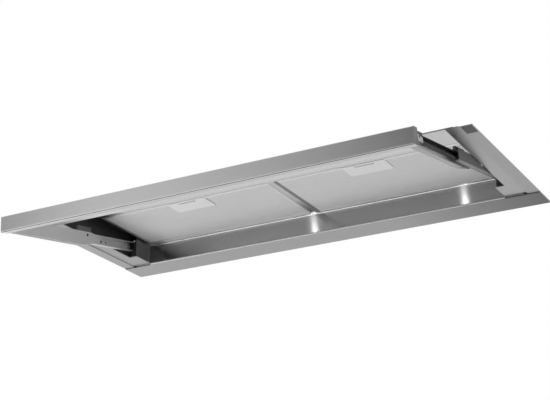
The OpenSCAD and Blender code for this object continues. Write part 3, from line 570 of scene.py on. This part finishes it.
def strand_tree():
    """Expanded mesh: crossing strands in every cell of a grid, left out in one rectangle."""
    tree, start, end = new_tree("Expanded mesh", [
        ("Width", FLOAT, 0.36), ("Depth", FLOAT, 0.15), ("Columns", "NodeSocketInt", 80),
        ("Rows", "NodeSocketInt", 60), ("Strand", FLOAT, 0.0006), ("Height", FLOAT, 0.0003),
        ("Centre", VECTOR, (0, 0, 0)), ("Gap low", VECTOR, (0, 0, 0)), ("Gap high", VECTOR, (0, 0, 0))])
    out = start.outputs
    cell_x = math_node(tree, "DIVIDE", out["Width"], out["Columns"])
    cell_y = math_node(tree, "DIVIDE", out["Depth"], out["Rows"])
    grid = tree.nodes.new("GeometryNodeMeshGrid")
    tree.links.new(math_node(tree, "SUBTRACT", out["Width"], cell_x), grid.inputs["Size X"])
    tree.links.new(math_node(tree, "SUBTRACT", out["Depth"], cell_y), grid.inputs["Size Y"])
    tree.links.new(out["Columns"], grid.inputs["Vertices X"])
    tree.links.new(out["Rows"], grid.inputs["Vertices Y"])
    placed = moved(tree, grid.outputs["Mesh"], out["Centre"])
    reach = math_node(tree, "SQRT", math_node(tree, "ADD", math_node(tree, "MULTIPLY", cell_x, cell_x),
                                              math_node(tree, "MULTIPLY", cell_y, cell_y)))
    bar = tree.nodes.new("GeometryNodeMeshCube")
    tree.links.new(box_xyz(tree, reach, out["Strand"], out["Height"]), bar.inputs["Size"])
    lean = math_node(tree, "ARCTAN2", cell_y, cell_x)
    cross = joined(tree, *[moved(tree, bar.outputs["Mesh"], turn=box_xyz(tree, 0.0, 0.0, turn))
                           for turn in (lean, math_node(tree, "MULTIPLY", lean, -1.0))])
    here = tree.nodes.new("GeometryNodeInputPosition")
    inside = []
    for operation, corner in (("GREATER_THAN", "Gap low"), ("LESS_THAN", "Gap high")):
        spot, limit = tree.nodes.new("ShaderNodeSeparateXYZ"), tree.nodes.new("ShaderNodeSeparateXYZ")
        tree.links.new(here.outputs[0], spot.inputs[0])
        tree.links.new(out[corner], limit.inputs[0])
        inside += [math_node(tree, operation, spot.outputs[i], limit.outputs[i]) for i in (0, 1)]
    both = math_node(tree, "MINIMUM", math_node(tree, "MINIMUM", inside[0], inside[1]),
                     math_node(tree, "MINIMUM", inside[2], inside[3]))
    cut = add_node(tree, "GeometryNodeDeleteGeometry", domain="POINT")
    tree.links.new(placed, cut.inputs["Geometry"])
    tree.links.new(both, cut.inputs["Selection"])
    scatter = tree.nodes.new("GeometryNodeInstanceOnPoints")
    tree.links.new(cut.outputs[0], scatter.inputs["Points"])
    tree.links.new(cross, scatter.inputs["Instance"])
    return finish_tree(tree, start, end, scatter.outputs[0])


def faced_instances(tree, start, shape):
    """One copy of a shape on each point of the base mesh, turned to the point's facing."""
    facing = add_node(tree, "GeometryNodeInputNamedAttribute", data_type="FLOAT_VECTOR")
    facing.inputs["Name"].default_value = "facing"
    turned = add_node(tree, "FunctionNodeAlignRotationToVector", axis="Z")
    tree.links.new(facing.outputs["Attribute"], turned.inputs["Vector"])
    scatter = tree.nodes.new("GeometryNodeInstanceOnPoints")
    tree.links.new(start.outputs["Geometry"], scatter.inputs["Points"])
    tree.links.new(shape, scatter.inputs["Instance"])
    tree.links.new(turned.outputs[0], scatter.inputs["Rotation"])
    return scatter.outputs[0]


def screw_tree():
    """A pan head with a cross recess on each point."""
    tree, start, end = new_tree("Pan head screws", [
        ("Radius", FLOAT, 0.003), ("Height", FLOAT, 0.0014), ("Recess", FLOAT, 0.0008)])
    out = start.outputs
    rim = add_node(tree, "GeometryNodeMeshCylinder")
    rim.inputs["Vertices"].default_value = SCREW_SIDES
    low = math_node(tree, "MULTIPLY", out["Height"], 0.55)
    tree.links.new(out["Radius"], rim.inputs["Radius"])
    tree.links.new(low, rim.inputs["Depth"])
    dome = add_node(tree, "GeometryNodeMeshCone")
    dome.inputs["Vertices"].default_value = SCREW_SIDES
    tree.links.new(math_node(tree, "MULTIPLY", out["Radius"], 0.78), dome.inputs["Radius Top"])
    tree.links.new(out["Radius"], dome.inputs["Radius Bottom"])
    tree.links.new(math_node(tree, "MULTIPLY", out["Height"], 0.45), dome.inputs["Depth"])
    cut = add_node(tree, "GeometryNodeMeshBoolean", operation="DIFFERENCE", solver="EXACT")
    tree.links.new(moved(tree, dome.outputs["Mesh"], box_xyz(tree, 0.0, 0.0, low)), cut.inputs["Mesh 1"])
    long, short = [math_node(tree, "MULTIPLY", out["Radius"], part) for part in (1.1, 0.24)]
    for size_x, size_y in ((long, short), (short, long)):
        arm = tree.nodes.new("GeometryNodeMeshCube")
        tree.links.new(box_xyz(tree, size_x, size_y, out["Recess"]), arm.inputs["Size"])
        raised = moved(tree, arm.outputs["Mesh"], box_xyz(tree, 0.0, 0.0, out["Height"]))
        tree.links.new(raised, cut.inputs["Mesh 2"])
    half = math_node(tree, "MULTIPLY", low, 0.5)
    head = joined(tree, moved(tree, rim.outputs["Mesh"], box_xyz(tree, 0.0, 0.0, half)), cut.outputs["Mesh"])
    return finish_tree(tree, start, end, faced_instances(tree, start, head))


def rib_tree():
    """A low pressed rib with rounded ends on each point."""
    tree, start, end = new_tree("Pressed ribs", [
        ("Length", FLOAT, 0.1), ("Radius", FLOAT, 0.004), ("Rise", FLOAT, 0.0012), ("Turn", FLOAT, 0.0)])
    out = start.outputs
    line = tree.nodes.new("GeometryNodeCurvePrimitiveLine")
    half = math_node(tree, "MULTIPLY", out["Length"], 0.5)
    tree.links.new(box_xyz(tree, math_node(tree, "MULTIPLY", half, -1.0), 0.0, 0.0), line.inputs["Start"])
    tree.links.new(box_xyz(tree, half, 0.0, 0.0), line.inputs["End"])
    resample = tree.nodes.new("GeometryNodeResampleCurve")
    tree.links.new(line.outputs[0], resample.inputs["Curve"])
    resample.inputs["Count"].default_value = RIB_POINTS
    along = tree.nodes.new("GeometryNodeSplineParameter")
    middle = math_node(tree, "ABSOLUTE", math_node(tree, "MULTIPLY_ADD", along.outputs["Factor"], 2.0, -1.0))
    taper = math_node(tree, "SQRT", math_node(tree, "SUBTRACT", 1.0, math_node(tree, "POWER", middle, 8.0)))
    radius = tree.nodes.new("GeometryNodeSetCurveRadius")
    tree.links.new(resample.outputs[0], radius.inputs["Curve"])
    tree.links.new(math_node(tree, "MAXIMUM", taper, 0.02), radius.inputs["Radius"])
    ring = tree.nodes.new("GeometryNodeCurvePrimitiveCircle")
    ring.inputs["Resolution"].default_value = RIB_SIDES
    tree.links.new(out["Radius"], ring.inputs["Radius"])
    sweep = tree.nodes.new("GeometryNodeCurveToMesh")
    tree.links.new(radius.outputs[0], sweep.inputs["Curve"])
    tree.links.new(ring.outputs[0], sweep.inputs["Profile Curve"])
    sweep.inputs["Fill Caps"].default_value = True
    flatness = math_node(tree, "DIVIDE", out["Rise"], out["Radius"])
    flat = moved(tree, sweep.outputs[0], turn=box_xyz(tree, 0.0, 0.0, out["Turn"]),
                 scale=box_xyz(tree, 1.0, 1.0, flatness))
    return finish_tree(tree, start, end, faced_instances(tree, start, flat))


def geometry_tree(name):
    makers = {"Expanded mesh": strand_tree, "Pan head screws": screw_tree, "Pressed ribs": rib_tree}
    return bpy.data.node_groups.get(name) or makers[name]()


# ---- meshes built from sections

def outward_mesh(shape, name):
    """A plain mesh of the shape, with its faces turned outward."""
    bmesh.ops.recalc_face_normals(shape, faces=shape.faces)
    mesh = bpy.data.meshes.new(name)
    shape.to_mesh(mesh)
    shape.free()
    return mesh


def lathe(name, profile, centres):
    """A ring turned from a closed (radius, height) profile in mm at each centre matrix, in one mesh."""
    shape = bmesh.new()
    for centre in centres:
        rings = []
        for i in range(LATHE_SIDES):
            a = 2 * math.pi * i / LATHE_SIDES
            rings.append([shape.verts.new(centre @ (Vector((r * math.cos(a), r * math.sin(a), h)) / 1000))
                          for r, h in profile])
        for i in range(LATHE_SIDES):
            one, two = rings[i], rings[(i + 1) % LATHE_SIDES]
            for j in range(len(profile)):
                k = (j + 1) % len(profile)
                shape.faces.new((one[j], two[j], two[k], one[k]))
    bmesh.ops.remove_doubles(shape, verts=shape.verts, dist=SAME_POINT)
    mesh = outward_mesh(shape, name)
    for face in mesh.polygons:
        face.use_smooth = True
    mesh.set_sharp_from_angle(angle=SHARP_ANGLE)
    return mesh


def bead_section(y, z, radius, top):
    """A bead's (y, z) section in mm: the lower half of a circle round (y, z), with its sides drawn up."""
    turns = [math.pi * i / BEAD_STEPS for i in range(BEAD_STEPS + 1)]
    half = [(y - radius * math.cos(a), z - radius * math.sin(a)) for a in turns]
    return half + [(y + radius, top), (y - radius, top)]


def strip(name, section, spans, spot):
    """Strips across the hood, of one (y, z) section in mm over each span of X, where spot puts them."""
    shape = bmesh.new()
    for span in spans:
        ends = [[shape.verts.new(spot(x, y, z)) for y, z in section] for x in span]
        for i in range(len(section)):
            j = (i + 1) % len(section)
            shape.faces.new((ends[0][i], ends[0][j], ends[1][j], ends[1][i]))
        for end in ends:
            shape.faces.new(end)
    return outward_mesh(shape, name)


# ---- operators

class HOOD_OT_finishes(bpy.types.Operator):
    """Give every solid of the hood its finish"""
    bl_idname = "hood.finishes"
    bl_label = "Finishes"

    def execute(self, context):
        make_finishes(context.scene)
        slots = {row["node"]: row["material_slot"] for row in frame["record"]["subparts"]}
        for name, solid in frame["nodes"].items():
            finish = finishes[NODE_FINISH.get(name) or SLOT_FINISH[slots[name]]]
            if not solid.material_slots:
                solid.data.materials.append(finish)
            for slot in solid.material_slots:
                slot.material = finish
        return {"FINISHED"}


class HOOD_OT_filter_mesh(bpy.types.Operator):
    """Weave the outer layer of expanded mesh on both filters"""
    bl_idname = "hood.filter_mesh"
    bl_label = "Filter mesh"

    def execute(self, context):
        cells = context.scene.hood_mesh
        border, beside_handle, before_handle = FILTER_BORDER / 1000, 0.001, 0.01
        front = place(0, FILTER_FRONT, 0).y + border
        rear = place(0, FILTER_REAR, 0).y - border
        z = place(0, 0, FILTER_FACE).z - cells.strand_h / 2
        for side in ("left", "right"):
            low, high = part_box("filter_frame_" + side)
            plate_low, plate_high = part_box("handle_" + side)
            width, depth = high.x - low.x - 2 * border, rear - front
            values = {
                "Width": width, "Depth": depth,
                "Columns": round(width / cells.cell_x), "Rows": round(depth / cells.cell_y),
                "Strand": cells.strand, "Height": cells.strand_h,
                "Centre": ((low.x + high.x) / 2, (front + rear) / 2, z),
                "Gap low": (plate_low.x - beside_handle, plate_low.y - before_handle, 0),
                "Gap high": (plate_high.x + beside_handle, plate_high.y, 0),
            }
            grow("filter_strands_" + side, bpy.data.meshes.new("strand_base"), geometry_tree("Expanded mesh"),
                 values, "filter_" + side, "aluminium")
        return {"FINISHED"}


class HOOD_OT_screws(bpy.types.Operator):
    """Set the screws of the hood and of its visor"""
    bl_idname = "hood.screws"
    bl_label = "Screws"

    def execute(self, context):
        tree = geometry_tree("Pan head screws")
        up, under_panel = (0, 0, 1), VISOR.to_3x3() @ Vector((0, 0, -1))
        bracket = [(place(side * 391.5, 264, 35), (0, -1, 0)) for side in (-1, 1)]
        housing = [(place(x, y, PLENUM_TOP), up) for x in (-372, -250, 190, 372) for y in (232, 330)]
        housing += [(place(x, 196, COVER_TOP), up) for x in (-218, -120, -20, 80, 158)]
        housing += [(place(x, y, BOX_TOP), up) for x in (234, 322) for y in (270, 330)]
        plate = [(on_visor(side * 385, -154.2, 3.5), (-side, 0, 0)) for side in (-1, 1)]
        panel = [(on_visor(x, -330, PANEL_FACE), under_panel) for x in (-340, -100, 100, 340)]
        for name, points, sizes, body, finish, hides in (
                ("bracket_screw_heads", bracket, (0.0028, 0.0016, 0.0012), "root", "hardware",
                 ["bracket_screws"]),
                ("housing_screw_heads", housing, (0.0036, 0.0018, 0.0014), "root", "hardware", []),
                ("plate_screw_heads", plate, (0.0026, 0.001, 0.0006), "visor", "textured_black",
                 ["plate_screws"]),
                ("panel_screw_heads", panel, (0.003, 0.0012, 0.0008), "visor", "hardware", [])):
            base = points_mesh(name + "_points", points)
            values = dict(zip(("Radius", "Height", "Recess"), sizes))
            grow(name, base, tree, values, body, finish, hides)
        return {"FINISHED"}


class HOOD_OT_ribs(bpy.types.Operator):
    """Press the stiffening ribs into the housing and the blower's cover"""
    bl_idname = "hood.ribs"
    bl_label = "Pressed ribs"

    def execute(self, context):
        tree = geometry_tree("Pressed ribs")
        up = (0, 0, 1)
        housing = [(place(x, 281, PLENUM_TOP), up) for x in (-350, -310, -270, 200)]
        cover = [(place(x, 278, COVER_TOP), up) for x in (-60, -20, 20, 60, 100, 140)]
        for name, points, long, radius in (("housing_ribs", housing, 0.085, 0.006),
                                           ("cover_ribs", cover, 0.11, 0.005)):
            values = {"Length": long, "Radius": radius, "Rise": 0.0016, "Turn": math.pi / 2}
            grow(name, points_mesh(name + "_points", points), tree, values, "root", "zinc")
        return {"FINISHED"}


class HOOD_OT_lamps(bpy.types.Operator):
    """Turn the rings and the lenses of the two lamps"""
    bl_idname = "hood.lamps"
    bl_label = "Lamps"

    def execute(self, context):
        centres = [VISOR @ Matrix.Translation(Vector((x, LAMP_Y, PANEL_FACE)) / 1000)
                   for x in (-LAMP_X, LAMP_X)]
        ring = [(12.6, 0.0), (12.6, -0.5), (13.2, -1.0), (16.2, -1.0), (16.8, -0.8), (17.0, -0.4),
                (17.0, 0.0), (14.5, 0.0), (14.5, 7.7), (13.9, 8.3), (5.0, 8.3), (4.4, 7.8), (0.0, 7.8),
                (0.0, 6.8), (12.9, 6.8), (12.9, 0.0)]
        rings = new_piece("lamp_bezels", lathe("lamp_bezels", ring, centres))
        keep_piece(rings, "visor", "bright_steel", ["lamp_rings"])
        lens = [(0.0, -0.75), (6.0, -0.72), (11.0, -0.62), (12.6, -0.5), (12.6, 0.3), (0.0, 0.3)]
        lenses = new_piece("lamp_glasses", lathe("lamp_glasses", lens, centres))
        keep_piece(lenses, "visor", "lens", ["lamp_lenses"])
        return {"FINISHED"}


class HOOD_OT_bar_edge(bpy.types.Operator):
    """Lay the seal and the bead under the bar, the bead along the rear trim and, in its gaps, mid-dark strips
    that stand in for their shadow line
    """
    bl_idname = "hood.bar_edge"
    bl_label = "Bar edge"

    def execute(self, context):
        seal = [(BAR_FRONT + y, BAR_LOW + z)
                for y, z in ((0.7, 0.3), (0.7, -0.15), (0.9, -0.3), (2.5, -0.3), (2.6, 0.3))]
        bead = bead_section(BAR_FRONT + 3.5, BAR_LOW + 0.1, 0.9, BAR_LOW + 0.4)
        trim = bead_section(316, 0.2, 1.2, 0.8)
        # The gap strips are mid-dark pieces set in the trim's gaps, where there is only shade: painted shadow
        # lines.
        gap = [(315.2, 0.4), (315.5, 0.1), (316.9, 0.1), (316.9, 1.4), (315.2, 1.4)]
        under_bar, along_trim = [(-400.6, 400.6)], [(-384, 384)]
        beside_trim = [(-419.5, -387.4), (387.4, 419.5)]
        for name, section, spans, spot, body, finish, slot_name in (
                ("bar_seal", seal, under_bar, on_visor, "visor", "black_plastic", "black_plastic"),
                ("bar_bead", bead, under_bar, on_visor, "visor", "handle_steel", "handle_steel"),
                ("trim_bead", trim, along_trim, place, "root", "bright_steel", "bright_steel"),
                ("trim_gap_shadow_strips", gap, beside_trim, place, "root", "divider", "brushed_steel")):
            keep_piece(new_piece(name, strip(name, section, spans, spot)), body, finish)
        return {"FINISHED"}


class HOOD_OT_stage(bpy.types.Operator):
    """Set up the floor, the light and the camera"""
    bl_idname = "hood.stage"
    bl_label = "Stage"

    def execute(self, context):
        scene, stage = context.scene, context.scene.hood_stage
        low, far = -stage.floor_drop, FLOOR_REACH
        self.make_sheet("Floor", [(-far, -far, low), (far, -far, low), (far, far, low), (-far, far, low)],
                        [(-far, 0.9), (far, 0.9)])
        greys = [(-6.0, 0.0), (-3.42, 0.0), (-3.05, 0.95), (-2.85, 1.0), (-2.5, 0.55), (-1.9, 0.4),
                 (-1.3, 0.2), (-1.0, 0.0), (4.0, 0.1)]
        left, right = greys[0][0], greys[-1][0]
        corners = [(right, SCREEN_Y, low), (left, SCREEN_Y, low),
                   (left, SCREEN_Y, SCREEN_TOP), (right, SCREEN_Y, SCREEN_TOP)]
        self.make_sheet("Screen", corners, greys, glow=0.35)
        self.make_world(scene)
        self.make_light("Key", (-1.6, -2.6, -1.2), HOOD_MIDDLE, 2.2, stage.key_power)
        self.make_light("Fill", (-2.4, 0.6, -1.0), HOOD_MIDDLE, 1.8, stage.fill_power)
        self.make_glints(stage.visor_power)
        self.make_camera(scene, stage.lens)
        scene.view_settings.view_transform = "Standard"
        return {"FINISHED"}

    def make_sheet(self, name, corners, greys, glow=0.0):
        """A studio sheet whose paint shades from left to right, from pairs of an X and a grey. Its back is
        clear, and one that glows softly is a light, which the camera doesn't see."""
        mesh = bpy.data.meshes.new(name)
        mesh.from_pydata(corners, [], [(0, 1, 2, 3)])
        paint = bpy.data.materials.new(name + " paint")
        paint.use_nodes = True
        tree = paint.node_tree
        principled = tree.nodes["Principled BSDF"]
        principled.inputs["Roughness"].default_value = 0.9
        split = add_node(tree, "ShaderNodeSeparateXYZ")
        tree.links.new(add_node(tree, "ShaderNodeTexCoord").outputs["Object"], split.inputs[0])
        across = add_node(tree, "ShaderNodeMapRange")
        tree.links.new(split.outputs[0], across.inputs["Value"])
        left, right = greys[0][0], greys[-1][0]
        across.inputs["From Min"].default_value = left
        across.inputs["From Max"].default_value = right
        ramp = add_node(tree, "ShaderNodeValToRGB")
        tree.links.new(across.outputs["Result"], ramp.inputs[0])
        stops = ramp.color_ramp.elements
        for i, (x, grey) in enumerate(greys):
            spot = (x - left) / (right - left)
            stop = stops[i] if i < 2 else stops.new(spot)
            stop.position = spot
            stop.color = (grey, grey, grey, 1)
        tree.links.new(ramp.outputs["Color"], principled.inputs["Base Color"])
        hidden = add_node(tree, "ShaderNodeNewGeometry").outputs["Backfacing"]
        if glow:
            tree.links.new(ramp.outputs["Color"], principled.inputs["Emission Color"])
            principled.inputs["Emission Strength"].default_value = glow
            seen = add_node(tree, "ShaderNodeLightPath").outputs["Is Camera Ray"]
            hidden = math_node(tree, "MAXIMUM", hidden, seen)
        clear = add_node(tree, "ShaderNodeBsdfTransparent")
        mix = add_node(tree, "ShaderNodeMixShader")
        tree.links.new(hidden, mix.inputs[0])
        tree.links.new(principled.outputs[0], mix.inputs[1])
        tree.links.new(clear.outputs[0], mix.inputs[2])
        tree.links.new(mix.outputs[0], tree.nodes["Material Output"].inputs["Surface"])
        mesh.materials.append(paint)
        new_piece(name, mesh)

    def make_world(self, scene):
        """Soft light all round, which the camera, glass and metal see as white."""
        world = bpy.data.worlds.new("Studio")
        scene.world = world
        world.use_nodes = True
        tree = world.node_tree
        rays = add_node(tree, "ShaderNodeLightPath").outputs
        seen = math_node(tree, "MAXIMUM", rays["Is Camera Ray"], rays["Is Transmission Ray"])
        seen = math_node(tree, "MAXIMUM", seen, rays["Is Glossy Ray"])
        tint = add_node(tree, "ShaderNodeMix", data_type="RGBA")
        tree.links.new(seen, tint.inputs["Factor"])
        tint.inputs["A"].default_value = (0.8, 0.8, 0.8, 1)
        tint.inputs["B"].default_value = (1, 1, 1, 1)
        tree.links.new(tint.outputs["Result"], tree.nodes["Background"].inputs["Color"])

    def make_light(self, name, spot, aim, size, energy):
        data = bpy.data.lights.new(name, "AREA")
        data.shape = "SQUARE"
        data.size = size
        data.energy = energy
        lamp = bpy.data.objects.new(name, data)
        bpy.context.scene.collection.objects.link(lamp)
        lamp.location = spot
        lamp.rotation_mode = "QUATERNION"
        lamp.rotation_quaternion = (Vector(aim) - Vector(spot)).to_track_quat("-Z", "Y")
        return lamp

    def make_glints(self, energy):
        """The streaks that the visor's lamps throw on the polished rear wall. Their lights reach that wall
        alone, and nothing but the floor shades them."""
        lit = bpy.data.collections.new("Lit by the visor lamps")
        lit.objects.link(frame["nodes"]["rear_recess_wall"])
        blockers = bpy.data.collections.new("In the way of the visor lamps")
        blockers.objects.link(bpy.data.objects["Floor"])
        for x in (-178, 180.5):
            lamp = self.make_light("Visor lamp", place(x, -30, 110), place(x, 315, 20), 0.01, energy)
            lamp.light_linking.receiver_collection = lit
            lamp.light_linking.blocker_collection = blockers

    def make_camera(self, scene, lens):
        data = bpy.data.cameras.new("Camera")
        data.lens = lens
        data.sensor_width = 36
        data.clip_end = 50
        camera = bpy.data.objects.new("Camera", data)
        scene.collection.objects.link(camera)
        across, along = math.cos(CAMERA_YAW), math.sin(CAMERA_YAW)
        level, rise = math.cos(CAMERA_PITCH), math.sin(CAMERA_PITCH)
        ahead = Vector((-along * level, across * level, rise))
        right = Vector((across, along, 0))
        up = right.cross(ahead)
        side = right * math.cos(CAMERA_ROLL) + up * math.sin(CAMERA_ROLL)
        top = up * math.cos(CAMERA_ROLL) - right * math.sin(CAMERA_ROLL)
        turn = Matrix((side, top, -ahead)).transposed().to_4x4()
        camera.matrix_world = Matrix.Translation(CAMERA_PLACE) @ turn
        scene.camera = camera


class HOOD_PT_panel(bpy.types.Panel):
    """Sizes and steps of the range hood"""
    bl_idname = "HOOD_PT_panel"
    bl_label = "Range Hood"
    bl_space_type = "VIEW_3D"
    bl_region_type = "UI"
    bl_category = "Range Hood"

    def draw(self, context):
        scene = context.scene
        for settings in (scene.hood_finishes, scene.hood_mesh, scene.hood_stage):
            column = self.layout.column()
            for key in settings.bl_rna.properties.keys():
                if key not in ("rna_type", "name"):
                    column.prop(settings, key)
        for step in STEPS:
            self.layout.operator(step.bl_idname)


STEPS = (HOOD_OT_finishes, HOOD_OT_filter_mesh, HOOD_OT_screws, HOOD_OT_ribs, HOOD_OT_lamps, HOOD_OT_bar_edge,
         HOOD_OT_stage)
SETTINGS = (HoodFinishes, HoodMesh, HoodStage)


def register():
    for kind in (*SETTINGS, *STEPS, HOOD_PT_panel):
        bpy.utils.register_class(kind)
    bpy.types.Scene.hood_finishes = bpy.props.PointerProperty(type=HoodFinishes)
    bpy.types.Scene.hood_mesh = bpy.props.PointerProperty(type=HoodMesh)
    bpy.types.Scene.hood_stage = bpy.props.PointerProperty(type=HoodStage)


def unregister():
    del bpy.types.Scene.hood_finishes, bpy.types.Scene.hood_mesh, bpy.types.Scene.hood_stage
    for kind in reversed((*SETTINGS, *STEPS, HOOD_PT_panel)):
        bpy.utils.unregister_class(kind)


def main():
    register()
    bpy.ops.hood.finishes()
    bpy.ops.hood.filter_mesh()
    bpy.ops.hood.screws()
    bpy.ops.hood.ribs()
    bpy.ops.hood.lamps()
    bpy.ops.hood.bar_edge()
    bpy.ops.hood.stage()


if __name__ == "__main__":
    main()
